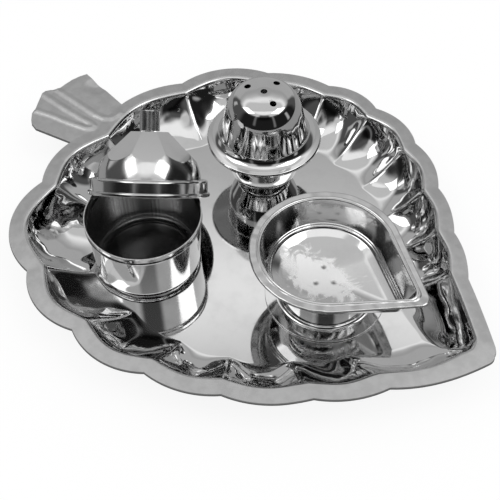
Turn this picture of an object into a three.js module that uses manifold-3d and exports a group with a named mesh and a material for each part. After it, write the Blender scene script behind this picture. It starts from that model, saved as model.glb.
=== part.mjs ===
// A kumkum plate: a leaf-shaped tray pressed from one steel sheet, which carries a kumkum box with
// its lid taken off, an incense stick holder and an oil lamp.
// Millimetres, +Z up. The origin is on the tray's underside at the centre of the leaf's round end,
// and +X runs along the leaf to its tip.

import * as THREE from 'three';
import { mergeVertices } from 'three/addons/utils/BufferGeometryUtils.js';
import Module from 'manifold-3d';

const wasm = await Module();
wasm.setup();

// Sheets and gaps
const TRAY_SHEET = 0.8;
const VESSEL_SHEET = 0.5;
const REST_GAP = 0.3; // between pieces that rest on each other
const EDGE_LEAN = 0.25; // how far a turned-down edge leans out, as a share of its height
const CUT_MARGIN = 1; // how far a cutter reaches past what it cuts

// Tray, seen from above: a round end drawn out to a tip, with scallops along the whole edge
const LEAF_RADIUS = 95; // round end, through the notches between the scallops
const LEAF_REACH = 129; // from the round end's centre to where the two straight sides meet
const TIP_DIRECTION = 2.6; // degrees
const TIP_ROUNDING = 6;
const FLOOR_SCALLOP = 1.6; // how far the floor runs out into each scallop
const FLOOR_FOLLOWS = 0.5; // share of the notches' stand-off that the floor's edge follows

// Tray, in section
const RIM_HEIGHT = 17; // top of the rim over the floor
const RIM_WIDTH = 6;
const RIM_FALL = 0.5; // the rim slopes down outwards by this much
const RIM_BEND = 2.2; // radius of the bend from the wall to the rim
const RIM_EDGE = 1.2; // height of the turned-down outer edge
const WALL_WIDTH = 25; // in plan, round the leaf
const WALL_WIDTH_TIP = 18; // in plan, towards the tip
const SCOOP_STEEPNESS = 80; // degrees, of the scoop's section where it meets the bend
const RIDGE_CURVE = 1.35; // section of the ridge between two scoops: 1 is a straight line
const RIDGE_SHARPNESS = 2.2;

// Scallops, anticlockwise from the tip: direction of the notch in front of each in degrees, how far
// that notch stands outside the plain leaf, and the bulge of the scallop
const SCALLOPS = [
  [TIP_DIRECTION, 0, 0.2], [18.6, -3.3, 2], [32.9, -3.2, 2], [49.8, -4.1, 2.2], [68.4, -1.3, 3],
  [86.7, 0.6, 3.2], [103.7, 1.9, 1.5], [123, 3.1, 4.6], [149.7, 0.7, 4.2], [181.9, -3, 4.2],
  [207, 3, 7.8], [237.7, 5, 4.2], [260.6, 0, 3.6], [283.8, -2.4, 1.8], [304, -0.9, 1.9],
  [325.6, 4.1, 2.6], [342, 5.4, 4.2],
];

// Stem: a fan with three pressed ribs, of the same sheet as the rim. Two of the ribs run into each
// other at the root, and the third turns off along the rim.
const STEM_LENGTH = 38; // past the leaf's round end
const STEM_ROOT_WIDTH = 34;
const STEM_END_WIDTH = 42.6;
const STEM_SKEW = 0.9; // the end's middle lies this far to the +Y side
const STEM_RIB_HEIGHT = 1.5;
const STEM_RIB_START = 0.15; // share of the length in which the root's height passes into the ribs'
// Lines along the stem: place across the root and across the end, as shares of the half widths,
// how far the line ends short of the full length, 1 on the crest of a rib, and the height at the
// root as a share of the ribs'
const STEM_LINES = [
  [-1, -1, 11, 0, 0], [-0.84, -0.93, 8, 0, 0], [-0.64, -0.8, 6, 0, 0], [-0.46, -0.69, 4.7, 0, 0.1],
  [-0.38, -0.63, 4.2, 1, 0.8], [-0.3, -0.56, 4, 0, 1], [-0.25, -0.34, 2.6, 0, 1],
  [-0.21, -0.19, 1.2, 0, 1], [-0.15, -0.13, 0.4, 1, 0.8], [-0.08, -0.06, 0, 0, 0.1],
  [0.07, 0.04, 1.5, 0, 0], [0.19, 0.14, 3.4, 0, 0.1], [0.27, 0.21, 4.5, 1, 0.9],
  [0.34, 0.28, 4.7, 0, 1], [0.56, 0.5, 5, 0, 0.8], [0.8, 0.76, 6.4, 0, 0.4], [1, 1, 8, 0, 0],
];

// Kumkum box
const CUP_DIRECTION = 233; // degrees, from the leaf's centre
const CUP_OVER_SCOOP = 3.8; // its rounded corner stands this far over the foot of the scoop
const CUP_RADIUS = 26; // outside of the rim band
const CUP_HEIGHT = 29.5;
const CUP_BAND = 3.2; // height of the rim band
const CUP_BAND_STEP = 0.8; // the wall under the band is this much narrower
const CUP_TAPER = 1.2; // the wall narrows by this much down to the corner
const CUP_CORNER = 3.5; // radius of the corner at the floor
const LID_CLEARANCE = 0.25; // between the lid's skirt and the cup's rim
const LID_SKIRT = 8.6; // height of the skirt and its shoulder
const LID_SHOULDER = 1.2; // radius of the shoulder
const LID_BEAD = 1.8; // height of the rolled edge
const LID_BEAD_STEP = 1; // how far it stands out
const LID_BEAD_ROUNDING = 0.5;
const LID_DOME_RADIUS = 22.5;
const LID_DOME_WALL = 4; // height of the dome's straight wall over the shoulder
const LID_DOME_ROUNDING = 14.5;
const LID_HEIGHT = 29.6; // to the flat top
const LID_TOP_RADIUS = 8.4; // to the middle of the flat top's sides
const LID_FACETS = 8;
const LID_FACET_SLOPE = 45; // degrees
const LID_LEAN = 44.5; // degrees that the axis of the lid taken off leans back
const LID_LEAN_DIRECTION = 128; // degrees, the way it leans
const LID_FOOT_RISE = 2.8; // of its lowest edge over the cup's underside
const KNOB_RADIUS = 3.9;
const KNOB_HEIGHT = 9.2;
const KNOB_CHAMFER = 0.4;
const KNOB_BORE_DEPTH = 6;
const SCREW_RADIUS = 1.3;
const SCREW_LENGTH = 6; // under its head
const SCREW_HEAD_RADIUS = 2.8;
const SCREW_HEAD_HEIGHT = 1.8;
const SCREW_SLOT = [0.7, 0.8]; // width and depth
const LEAST_ROUNDING = 0.1;

// Incense stick holder
const HOLDER_DIRECTION = 82.6; // degrees, from the cup
const HOLDER_TO_LID = 18.65; // from its brim to the lid's bead, if the lid were on the cup
const HOLDER_SEAT = 28; // top of the bowl's flange over its base
const HOLDER_BASE_RADIUS = 11.9; // outside of the bowl at its base
const HOLDER_CORNER = 2.5; // radius at the base
const HOLDER_BELLY_RADIUS = 16.9; // where the slanting lower part meets the upright wall
const HOLDER_BELLY_HEIGHT = 11;
const HOLDER_BEND = 18; // radius between the two
const HOLDER_MOUTH_RADIUS = 17.5; // outside, under its flange
const HOLDER_FILLET = 1; // radius under the flange
const HOLDER_FLANGE_RADIUS = 25.8;
const COVER_RADIUS = 26.8; // outside of the cover's brim
const COVER_HEIGHT = 27.2; // from the underside of the brim to the top of the dome
const COVER_DOME_RADIUS = 20.9;
const COVER_DOME_TAPER = 5.1; // from the brim to the shoulder
const COVER_SHOULDER = 6; // radius
const COVER_CROWN = 0.6; // rise of the slightly domed top
const COVER_FILLET = 2; // radius between dome and brim
const COVER_EDGE = 1.4; // height of the brim's turned-down edge
const STICK_HOLE_RADIUS = 1.2;
const STICK_CIRCLE = 8.5; // radius of the ring of holes round the middle one
const STICK_DIRECTIONS = [-22.5, 86.5, 190.5];

// Oil lamp
const FOOT_DIRECTION = -2.5; // degrees, from the leaf's centre
const FOOT_TO_TIP = 16.3; // from its flange to the floor's edge
const LAMP_DIRECTION = 4; // degrees, the way the bowl's lip points
const LAMP_RADIUS = 32.3;
const LAMP_REACH = 50.4; // to where the two sides of the lip meet
const LAMP_LIP_ROUNDING = 4;
const LAMP_HEIGHT = 36.4; // top of the rim over the foot's underside
const LAMP_DEPTH = 20.7; // inside
const LAMP_SEAT_RADIUS = 12; // flat of the bowl's bottom
const LAMP_EDGE = 0.8; // height of the rim's turned-down edge
const FOOT_SHIFT = [-1.7, 4]; // the foot's centre from the bowl's
const FOOT_RADIUS = 26.8;
const FOOT_WALL_RADIUS = 19.8; // outside, over the flange
const FOOT_FILLET = 2.4;
const FOOT_SHOULDER = 7.5; // radius
const FOOT_TAPER = 1.2; // the wall narrows by this much up to the seat
// Section of the bowl from its rim inwards: inset from the edge in plan, and share of the depth
const LAMP_SECTION = [
  [0, 0.02], [0.7, 0.008], [3.2, 0.012], [4.1, 0], [4.8, 0.04], [5.7, 0.16], [8.3, 0.52],
  [9.6, 0.66], [12.2, 0.8], [13.2, 0.86], [16.5, 0.95],
];

// Fineness of the curves
const SCALLOP_STEPS = 6;
const WALL_STEPS = 5;
const STEM_STEPS = 6;
const ROUND_STEPS = 32;
const LAMP_STEPS = 40;
const TIP_BUNCHING = 0.6; // how much closer the lamp's cuts lie at its lip
const BEND_STEP = 32; // degrees, in the roundings of a section
const SMALL_BEND = 1.5; // a rounding of a lesser radius has wider steps
const SMALL_BEND_STEP = 46;
const DOME_STEPS = 5; // in the rounding of the lid's dome
const SHARPEST_MITRE = 0.5; // cosine of half the sharpest turn that is mitred in full
const HOLE_STEPS = 12;

const steel = (color, roughness) => new THREE.MeshStandardMaterial({ color, roughness, metalness: 1 });
const lerp = THREE.MathUtils.lerp;
const radians = THREE.MathUtils.degToRad;

// Helpers for solids

// Turns a closed geometry into one with merged corners, no slivers and its faces pointing out.
function closed(geometry) {
  const bare = geometry.clone();
  bare.deleteAttribute('normal');
  bare.deleteAttribute('uv');
  const merged = mergeVertices(bare, 1e-5);
  const index = merged.index.array;
  const kept = [];
  for (let i = 0; i < index.length; i += 3) {
    const [a, b, c] = [index[i], index[i + 1], index[i + 2]];
    if (a !== b && b !== c && c !== a) kept.push(a, b, c);
  }
  if (signedVolume(merged, kept) < 0) kept.reverse();
  merged.setIndex(kept);
  merged.computeVertexNormals();
  return merged;
}

function signedVolume(geometry, index) {
  const at = geometry.attributes.position;
  const [p, q, r] = [new THREE.Vector3(), new THREE.Vector3(), new THREE.Vector3()];
  let sum = 0;
  for (let i = 0; i < index.length; i += 3) {
    p.fromBufferAttribute(at, index[i]);
    q.fromBufferAttribute(at, index[i + 1]);
    r.fromBufferAttribute(at, index[i + 2]);
    sum += p.dot(q.cross(r));
  }
  return sum / 6;
}

function toSolid(geometry) {
  return new wasm.Manifold(new wasm.Mesh({
    numProp: 3,
    vertProperties: Float32Array.from(geometry.attributes.position.array),
    triVerts: Uint32Array.from(geometry.index.array),
  }));
}

function toGeometry(solid) {
  const mesh = solid.getMesh();
  const geometry = new THREE.BufferGeometry();
  geometry.setAttribute('position', new THREE.BufferAttribute(mesh.vertProperties, 3));
  geometry.setIndex(new THREE.BufferAttribute(mesh.triVerts, 1));
  geometry.computeVertexNormals();
  return geometry;
}

// Solid of revolution about Z of a profile that starts and ends on the axis.
function revolve(profile, steps = ROUND_STEPS) {
  return closed(new THREE.LatheGeometry(profile, steps).rotateX(Math.PI / 2));
}

// Upright cylinder from z = low to z = high at (x, y).
function rod(radius, low, high, x = 0, y = 0, steps = HOLE_STEPS) {
  const geometry = new THREE.CylinderGeometry(radius, radius, high - low, steps);
  return closed(geometry.rotateX(Math.PI / 2).translate(x, y, (low + high) / 2));
}

// Path beside a path, at the sheet's distance, with mitred corners. Positive is to the right.
function beside(path, distance) {
  return path.map((point, i) => {
    const before = path[Math.max(i - 1, 0)];
    const after = path[Math.min(i + 1, path.length - 1)];
    const arriving = new THREE.Vector2().subVectors(i > 0 ? point : after, before).normalize();
    const leaving = new THREE.Vector2().subVectors(after, i < path.length - 1 ? point : before).normalize();
    const middle = new THREE.Vector2().addVectors(arriving, leaving).normalize();
    const mitre = distance / Math.max(middle.dot(arriving), SHARPEST_MITRE);
    return new THREE.Vector2(point.x + middle.y * mitre, point.y - middle.x * mitre);
  });
}

// A round pressing: its outer path starts on the axis, and the sheet lies on the path's left.
function pressing(path, sheet, steps = ROUND_STEPS) {
  const inner = beside(path, -sheet);
  inner[0].x = 0;
  return revolve([...path, ...inner.reverse()], steps);
}

// Path through corners, each [radius, height, rounding].
function roundedPath(corners) {
  const points = corners.map(([x, y]) => new THREE.Vector2(x, y));
  const path = [points[0]];
  for (let i = 1; i < points.length - 1; i += 1) {
    const rounding = corners[i][2] ?? 0;
    if (rounding === 0) {
      path.push(points[i]);
      continue;
    }
    const back = new THREE.Vector2().subVectors(points[i - 1], points[i]).normalize();
    const on = new THREE.Vector2().subVectors(points[i + 1], points[i]).normalize();
    const half = Math.acos(THREE.MathUtils.clamp(back.dot(on), -1, 1)) / 2;
    const cut = rounding / Math.tan(half);
    const middle = new THREE.Vector2().addVectors(back, on).normalize();
    const centre = points[i].clone().addScaledVector(middle, rounding / Math.sin(half));
    const first = points[i].clone().addScaledVector(back, cut).sub(centre);
    const last = points[i].clone().addScaledVector(on, cut).sub(centre);
    const turn = Math.atan2(first.x * last.y - first.y * last.x, first.dot(last));
    const widest = rounding < SMALL_BEND ? SMALL_BEND_STEP : BEND_STEP;
    const steps = Math.ceil(Math.abs(turn) / radians(widest));
    for (let k = 0; k <= steps; k += 1) {
      const spoke = first.clone().rotateAround(new THREE.Vector2(), (turn * k) / steps);
      path.push(spoke.add(centre));
    }
  }
  path.push(points[points.length - 1]);
  return path;
}

// A sheet: points and faces of its upper side, thickened downwards and closed along its edges.
function sheetSolid(points, faces, sheet) {
  const upper = new THREE.BufferGeometry().setFromPoints(points);
  upper.setIndex(faces.flat());
  upper.computeVertexNormals();
  const normals = upper.attributes.normal;
  const lower = points.map((point, i) => {
    const normal = new THREE.Vector3().fromBufferAttribute(normals, i);
    return point.clone().addScaledVector(normal, -sheet);
  });
  const count = points.length;
  const sides = new Map();
  for (const [a, b, c] of faces) {
    for (const [from, to] of [[a, b], [b, c], [c, a]]) {
      if (!sides.delete(`${to} ${from}`)) sides.set(`${from} ${to}`, [from, to]);
    }
  }
  const all = [...faces, ...faces.map(([a, b, c]) => [a + count, c + count, b + count])];
  for (const [from, to] of sides.values()) {
    all.push([to, from, from + count], [to, from + count, to + count]);
  }
  const geometry = new THREE.BufferGeometry().setFromPoints([...points, ...lower]);
  geometry.setIndex(all.flat());
  return closed(geometry);
}

// Polar outline of a round end that is drawn out to a rounded tip in the direction 0.
function dropOutline(radius, reach, rounding) {
  const tangentAt = Math.acos(radius / reach);
  const halfTip = Math.PI / 2 - tangentAt;
  const roundingCentre = reach - rounding / Math.sin(halfTip);
  const roundingEnd = Math.atan2(rounding * Math.sin(tangentAt),
    roundingCentre + rounding * Math.cos(tangentAt));
  return (angle) => {
    const away = Math.abs(Math.atan2(Math.sin(angle), Math.cos(angle)));
    if (away >= tangentAt) return radius;
    if (away >= roundingEnd) return radius / Math.cos(tangentAt - away);
    const across = roundingCentre * Math.sin(away);
    return roundingCentre * Math.cos(away) + Math.sqrt(rounding ** 2 - across ** 2);
  };
}

// Tray

const plainLeaf = dropOutline(LEAF_RADIUS, LEAF_REACH, TIP_ROUNDING);

// The scallop that holds a direction: share of the way through it, its stand-off from the plain
// leaf there, its bulge, and how much of a ridge runs down there. The tip has no ridge.
function scallopAt(degrees) {
  const turn = THREE.MathUtils.euclideanModulo(degrees - TIP_DIRECTION, 360) + TIP_DIRECTION;
  const i = SCALLOPS.findLastIndex(([notch]) => notch <= turn);
  const [from, standFrom, bulge] = SCALLOPS[i];
  const [to, standTo] = SCALLOPS[i + 1] ?? [TIP_DIRECTION + 360, 0];
  const share = (turn - from) / (to - from);
  const ridge = share < 0.5 ? Number(i > 0) : Number(i < SCALLOPS.length - 1);
  return {
    share,
    bulge,
    stand: lerp(standFrom, standTo, share),
    ridge: ridge * Math.abs(1 - 2 * share) ** RIDGE_SHARPNESS,
  };
}

const sharpArch = (share) => 4 * share * (1 - share);
const softArch = (share) => (sharpArch(share) + Math.sin(Math.PI * share) ** 2) / 2;

// Section of the tray along one direction, from the floor's edge out to the rim's edge:
// [distance from the origin, height over the floor].
function traySection(degrees) {
  const { share, bulge, stand, ridge } = scallopAt(degrees);
  const plain = plainLeaf(radians(degrees - TIP_DIRECTION));
  const inset = (width) => 1 - width / LEAF_RADIUS;
  const fromTip = Math.abs(((degrees + 180) % 360) - 180);
  const wall = lerp(WALL_WIDTH_TIP, WALL_WIDTH, Math.sin(radians(Math.min(fromTip, 90))) ** 2);
  const rimEdge = plain + stand + bulge * sharpArch(share);
  const crest = (plain + stand) * inset(RIM_WIDTH) + bulge * softArch(share);
  const floorEdge = (plain + stand * FLOOR_FOLLOWS) * inset(RIM_WIDTH + wall)
    + FLOOR_SCALLOP * softArch(share);
  const steep = radians(SCOOP_STEEPNESS);
  const wallTop = crest - RIM_BEND * Math.sin(steep);
  const wallRise = RIM_HEIGHT - RIM_BEND * (1 - Math.cos(steep));
  const section = [];
  for (let k = 0; k <= WALL_STEPS; k += 1) {
    const turn = (steep * k) / WALL_STEPS;
    const out = Math.sin(turn) / Math.sin(steep);
    const scoop = (1 - Math.cos(turn)) / (1 - Math.cos(steep));
    section.push([lerp(floorEdge, wallTop, out), wallRise * lerp(scoop, out ** RIDGE_CURVE, ridge)]);
  }
  for (const turn of [steep / 2, 0]) {
    section.push([crest - RIM_BEND * Math.sin(turn), RIM_HEIGHT - RIM_BEND * (1 - Math.cos(turn))]);
  }
  section.push([rimEdge, RIM_HEIGHT - RIM_FALL]);
  return section;
}

// Directions in which the tray is cut, from the stem's +Y side clockwise round the leaf to its
// other side, and back across the root of the stem along the stem's lines.
function trayDirections() {
  const rootDirections = STEM_LINES.map(([root]) => {
    const across = (root * STEM_ROOT_WIDTH) / 2;
    return 180 - THREE.MathUtils.radToDeg(Math.asin(across / LEAF_RADIUS));
  });
  const [first, last] = [rootDirections.at(-1), rootDirections[0] - 360];
  const notches = SCALLOPS.map(([notch]) => (notch > first ? notch - 360 : notch)).sort((a, b) => b - a);
  const stops = [first, ...notches.filter((notch) => notch < first && notch > last), last];
  const directions = [];
  for (let i = 0; i < stops.length - 1; i += 1) {
    for (let k = 0; k < SCALLOP_STEPS; k += 1) {
      // The cuts lie closer together at the tip.
      const share = k / SCALLOP_STEPS;
      const fromTip = stops[i] === TIP_DIRECTION ? share ** 2 : share;
      const eased = stops[i + 1] === TIP_DIRECTION ? 1 - (1 - share) ** 2 : fromTip;
      directions.push(lerp(stops[i], stops[i + 1], eased));
    }
  }
  return { around: directions, root: rootDirections };
}

function trayGeometry() {
  const { around, root } = trayDirections();
  const directions = [...around, ...root.slice(0, -1)];
  const count = directions.length;
  const points = [new THREE.Vector3(0, 0, TRAY_SHEET)];
  const faces = [];
  const sections = directions.map(traySection);
  const rings = sections[0].length;
  for (let ring = 0; ring < rings; ring += 1) {
    directions.forEach((degrees, i) => {
      const [out, height] = sections[i][ring];
      const angle = radians(degrees);
      points.push(new THREE.Vector3(out * Math.cos(angle), out * Math.sin(angle), TRAY_SHEET + height));
    });
  }
  const at = (ring, i) => 1 + ring * count + (i % count);
  for (let i = 0; i < count; i += 1) faces.push([0, at(0, i + 1), at(0, i)]);
  for (let ring = 0; ring < rings - 1; ring += 1) {
    for (let i = 0; i < count; i += 1) {
      faces.push([at(ring, i), at(ring, i + 1), at(ring + 1, i + 1)]);
      faces.push([at(ring, i), at(ring + 1, i + 1), at(ring + 1, i)]);
    }
  }

  // The stem grows from the rim's edge across its root.
  const last = rings - 1;
  const rootPoints = root.map((_, line) => at(last, around.length + line));
  const rimTop = points[rootPoints[0]].z;
  STEM_LINES.forEach((line, i) => { points[rootPoints[i]].z = rimTop + line[4] * STEM_RIB_HEIGHT; });
  const rows = [rootPoints];
  for (let row = 1; row <= STEM_STEPS; row += 1) {
    const share = row / STEM_STEPS;
    rows.push(STEM_LINES.map(([, end, short, rib, atRoot], line) => {
      const start = points[rootPoints[line]];
      const endX = -(LEAF_RADIUS + STEM_LENGTH - short);
      const endY = (end * STEM_END_WIDTH) / 2 + STEM_SKEW;
      const rise = STEM_RIB_HEIGHT * lerp(atRoot, rib, THREE.MathUtils.smoothstep(share, 0, STEM_RIB_START));
      points.push(new THREE.Vector3(lerp(start.x, endX, share), lerp(start.y, endY, share), rimTop + rise));
      return points.length - 1;
    }));
  }
  for (let row = 0; row < STEM_STEPS; row += 1) {
    for (let line = 0; line < STEM_LINES.length - 1; line += 1) {
      const [a, b] = [rows[row][line], rows[row][line + 1]];
      const [c, d] = [rows[row + 1][line + 1], rows[row + 1][line]];
      faces.push([a, b, c], [a, c, d]);
    }
  }

  // The whole free edge is turned down.
  const rimLoop = around.map((_, i) => at(last, i));
  const sideA = rows.map((row) => row[0]);
  const sideB = rows.slice(1).map((row) => row.at(-1)).reverse();
  const loop = [...rimLoop, ...sideA, ...rows[STEM_STEPS].slice(1, -1), ...sideB];
  turnDown(points, faces, loop, RIM_EDGE);
  return sheetSolid(points, faces, TRAY_SHEET);
}

// Adds a turned-down edge along a closed loop of points that runs clockwise seen from above.
function turnDown(points, faces, loop, height) {
  const lean = height * EDGE_LEAN;
  const edge = loop.map((place, i) => {
    const before = points[loop.at(i - 1)];
    const after = points[loop[(i + 1) % loop.length]];
    const along = new THREE.Vector3().subVectors(after, before).normalize();
    points.push(points[place].clone().add(new THREE.Vector3(-along.y * lean, along.x * lean, -height)));
    return points.length - 1;
  });
  loop.forEach((a, i) => {
    const next = (i + 1) % loop.length;
    faces.push([a, loop[next], edge[next]], [a, edge[next], edge[i]]);
  });
}

// Kumkum box

function cupGeometry() {
  const wall = CUP_RADIUS - CUP_BAND_STEP;
  const path = roundedPath([
    [0, 0],
    [wall - CUP_TAPER, 0, CUP_CORNER],
    [wall, CUP_HEIGHT - CUP_BAND - CUP_BAND_STEP],
    [CUP_RADIUS, CUP_HEIGHT - CUP_BAND],
    [CUP_RADIUS, CUP_HEIGHT],
  ]);
  return pressing(path, VESSEL_SHEET);
}

const lidSkirtRadius = CUP_RADIUS + LID_CLEARANCE + VESSEL_SHEET;
const lidBeadRadius = lidSkirtRadius + LID_BEAD_STEP;

// One side of the lid as a solid: a domed revolve cut by the facets' planes. The inner side is the
// outer one moved in by the sheet, and it is open below.
function lidSide(sheet) {
  const slope = Math.tan(radians(LID_FACET_SLOPE));
  const corner = 1 / Math.cos(Math.PI / LID_FACETS);
  const height = LID_HEIGHT - sheet;
  const top = LID_TOP_RADIUS + sheet * (1 - Math.SQRT2);
  const domeRadius = LID_DOME_RADIUS - sheet;
  const skirtRadius = lidSkirtRadius - sheet;
  const domeFoot = LID_SKIRT - sheet;
  const shoulder = Math.max(LID_SHOULDER - sheet, LEAST_ROUNDING);
  const roundingHeight = domeFoot + LID_DOME_WALL + sheet;
  const coneFoot = [
    domeRadius - LID_DOME_ROUNDING + LID_DOME_ROUNDING * Math.cos(radians(LID_FACET_SLOPE)),
    roundingHeight + LID_DOME_ROUNDING * Math.sin(radians(LID_FACET_SLOPE)),
  ];
  const path = [new THREE.Vector2(0, height)];
  path.push(new THREE.Vector2(Math.max(coneFoot[0] - (height - coneFoot[1]) / slope, top * corner), height));
  for (let k = 0; k <= DOME_STEPS; k += 1) {
    const turn = radians(LID_FACET_SLOPE) * (1 - k / DOME_STEPS);
    path.push(new THREE.Vector2(
      domeRadius - LID_DOME_ROUNDING * (1 - Math.cos(turn)),
      roundingHeight + LID_DOME_ROUNDING * Math.sin(turn),
    ));
  }
  const skirt = sheet > 0
    ? [[skirtRadius, domeFoot, shoulder], [skirtRadius, -CUT_MARGIN], [0, -CUT_MARGIN]]
    : [
      [skirtRadius, domeFoot, shoulder], [skirtRadius, LID_BEAD],
      [lidBeadRadius, LID_BEAD, LID_BEAD_ROUNDING], [lidBeadRadius, 0, LID_BEAD_ROUNDING], [0, 0],
    ];
  path.push(...roundedPath([[domeRadius, domeFoot], ...skirt]));
  const tall = height + 2 * CUT_MARGIN;
  const facetFoot = top + tall / slope;
  const facets = new THREE.CylinderGeometry(top * corner, facetFoot * corner, tall, LID_FACETS);
  facets.rotateX(Math.PI / 2).rotateZ(Math.PI / LID_FACETS).translate(0, 0, height - tall / 2);
  return toSolid(revolve(path)).intersect(toSolid(closed(facets)));
}

function lidGeometry() {
  const screwHole = toSolid(rod(
    SCREW_RADIUS + REST_GAP, LID_HEIGHT - VESSEL_SHEET - CUT_MARGIN, LID_HEIGHT + CUT_MARGIN));
  return toGeometry(lidSide(0).subtract(lidSide(VESSEL_SHEET)).subtract(screwHole));
}

function knobGeometry() {
  const bore = SCREW_RADIUS + REST_GAP;
  const path = [
    [0, KNOB_BORE_DEPTH], [bore, KNOB_BORE_DEPTH], [bore, 0], [KNOB_RADIUS, 0],
    [KNOB_RADIUS, KNOB_HEIGHT - KNOB_CHAMFER], [KNOB_RADIUS - KNOB_CHAMFER, KNOB_HEIGHT], [0, KNOB_HEIGHT],
  ];
  return revolve(path.map(([x, y]) => new THREE.Vector2(x, y)), HOLE_STEPS * 2);
}

function screwGeometry() {
  const path = roundedPath([
    [0, SCREW_LENGTH], [SCREW_RADIUS, SCREW_LENGTH], [SCREW_RADIUS, 0], [SCREW_HEAD_RADIUS, 0],
    [SCREW_HEAD_RADIUS, -SCREW_HEAD_HEIGHT, SCREW_HEAD_HEIGHT / 2], [0, -SCREW_HEAD_HEIGHT],
  ]);
  const [slotWidth, slotDepth] = SCREW_SLOT;
  const slot = new THREE.BoxGeometry(SCREW_HEAD_RADIUS * 3, slotWidth, slotDepth * 2);
  slot.translate(0, 0, -SCREW_HEAD_HEIGHT);
  return toGeometry(toSolid(revolve(path, HOLE_STEPS)).subtract(toSolid(closed(slot))));
}

// The lid taken off: its hollow hooks over the back of the cup, so that its inner edge rests on the
// cup's rim in two places.
function lidPlace() {
  const lean = radians(LID_LEAN);
  const direction = radians(LID_LEAN_DIRECTION);
  const height = lidBeadRadius * Math.sin(lean) + LID_FOOT_RISE;
  const inner = lidSkirtRadius - VESSEL_SHEET;
  const up = (CUP_HEIGHT + REST_GAP - height) / (inner * Math.sin(lean));
  const side = inner * Math.sqrt(1 - up ** 2);
  const back = inner * Math.cos(lean) * up + Math.sqrt(CUP_RADIUS ** 2 - side ** 2);
  return {
    position: new THREE.Vector3(back * Math.cos(direction), back * Math.sin(direction), height),
    axis: new THREE.Vector3(-Math.sin(direction), Math.cos(direction), 0),
    lean,
    direction,
  };
}

// Incense stick holder

function holderBowlGeometry() {
  const path = roundedPath([
    [0, 0],
    [HOLDER_BASE_RADIUS, 0, HOLDER_CORNER],
    [HOLDER_BELLY_RADIUS, HOLDER_BELLY_HEIGHT, HOLDER_BEND],
    [HOLDER_MOUTH_RADIUS, HOLDER_SEAT - VESSEL_SHEET, HOLDER_FILLET],
    [HOLDER_FLANGE_RADIUS, HOLDER_SEAT - VESSEL_SHEET],
  ]);
  return pressing(path, VESSEL_SHEET);
}

function coverGeometry() {
  const brim = VESSEL_SHEET;
  const shoulderRadius = COVER_DOME_RADIUS - COVER_DOME_TAPER;
  const path = roundedPath([
    [0, COVER_HEIGHT],
    [shoulderRadius - COVER_SHOULDER, COVER_HEIGHT - COVER_CROWN / 2],
    [shoulderRadius, COVER_HEIGHT - COVER_CROWN, COVER_SHOULDER],
    [COVER_DOME_RADIUS, brim, COVER_FILLET],
    [COVER_RADIUS, brim, COVER_EDGE / 2],
    [COVER_RADIUS, brim - COVER_EDGE],
  ]);
  const shell = toSolid(pressing(path, -VESSEL_SHEET));
  const places = STICK_DIRECTIONS.map((degrees) => [
    STICK_CIRCLE * Math.cos(radians(degrees)), STICK_CIRCLE * Math.sin(radians(degrees)),
  ]);
  const holes = [[0, 0], ...places].map(([x, y]) => toSolid(
    rod(STICK_HOLE_RADIUS, COVER_HEIGHT / 2, COVER_HEIGHT + CUT_MARGIN, x, y),
  ));
  return toGeometry(holes.reduce((left, hole) => left.subtract(hole), shell));
}

// Oil lamp

function lampBowlGeometry() {
  const directions = Array.from({ length: LAMP_STEPS }, (_, i) => {
    const turn = (2 * Math.PI * i) / LAMP_STEPS;
    return TIP_BUNCHING * Math.sin(turn) - turn;
  });
  const rings = [...LAMP_SECTION, [LAMP_RADIUS - LAMP_SEAT_RADIUS, 1]].reverse();
  const points = [new THREE.Vector3(0, 0, -LAMP_DEPTH)];
  const faces = [];
  for (const [inset, depth] of rings) {
    const scale = 1 - inset / LAMP_RADIUS;
    const rounding = LAMP_LIP_ROUNDING * Math.sqrt(scale);
    const outline = dropOutline(LAMP_RADIUS * scale, LAMP_REACH * scale, rounding);
    for (const angle of directions) {
      const out = outline(angle);
      points.push(new THREE.Vector3(out * Math.cos(angle), out * Math.sin(angle), -LAMP_DEPTH * depth));
    }
  }
  const at = (ring, i) => 1 + ring * LAMP_STEPS + (i % LAMP_STEPS);
  for (let i = 0; i < LAMP_STEPS; i += 1) faces.push([0, at(0, i + 1), at(0, i)]);
  for (let ring = 0; ring < rings.length - 1; ring += 1) {
    for (let i = 0; i < LAMP_STEPS; i += 1) {
      faces.push([at(ring, i), at(ring, i + 1), at(ring + 1, i + 1)]);
      faces.push([at(ring, i), at(ring + 1, i + 1), at(ring + 1, i)]);
    }
  }
  turnDown(points, faces, directions.map((_, i) => at(rings.length - 1, i)), LAMP_EDGE);
  return sheetSolid(points, faces, VESSEL_SHEET);
}

function footGeometry() {
  const height = LAMP_HEIGHT - LAMP_DEPTH - VESSEL_SHEET - REST_GAP;
  const path = roundedPath([
    [0, height],
    [FOOT_WALL_RADIUS - FOOT_TAPER, height, FOOT_SHOULDER],
    [FOOT_WALL_RADIUS, VESSEL_SHEET, FOOT_FILLET],
    [FOOT_RADIUS, VESSEL_SHEET],
  ]);
  return pressing(path, -VESSEL_SHEET);
}

// Assembly

const mirrorSteel = steel(0xd2d4d6, 0.08);
const brushedSteel = steel(0xb9bbbd, 0.22);

function piece(name, geometry, material, z = 0) {
  const mesh = new THREE.Mesh(geometry, material.clone());
  mesh.name = name;
  mesh.position.z = z;
  return mesh;
}

// A place on the floor, at a distance inside its edge.
function fromEdge(degrees, distance) {
  const out = traySection(degrees)[0][0] - distance;
  return [out * Math.cos(radians(degrees)), out * Math.sin(radians(degrees))];
}

function vessel([x, y], ...pieces) {
  const group = new THREE.Group();
  group.position.set(x, y, TRAY_SHEET + REST_GAP);
  group.add(...pieces);
  return group;
}

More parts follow.
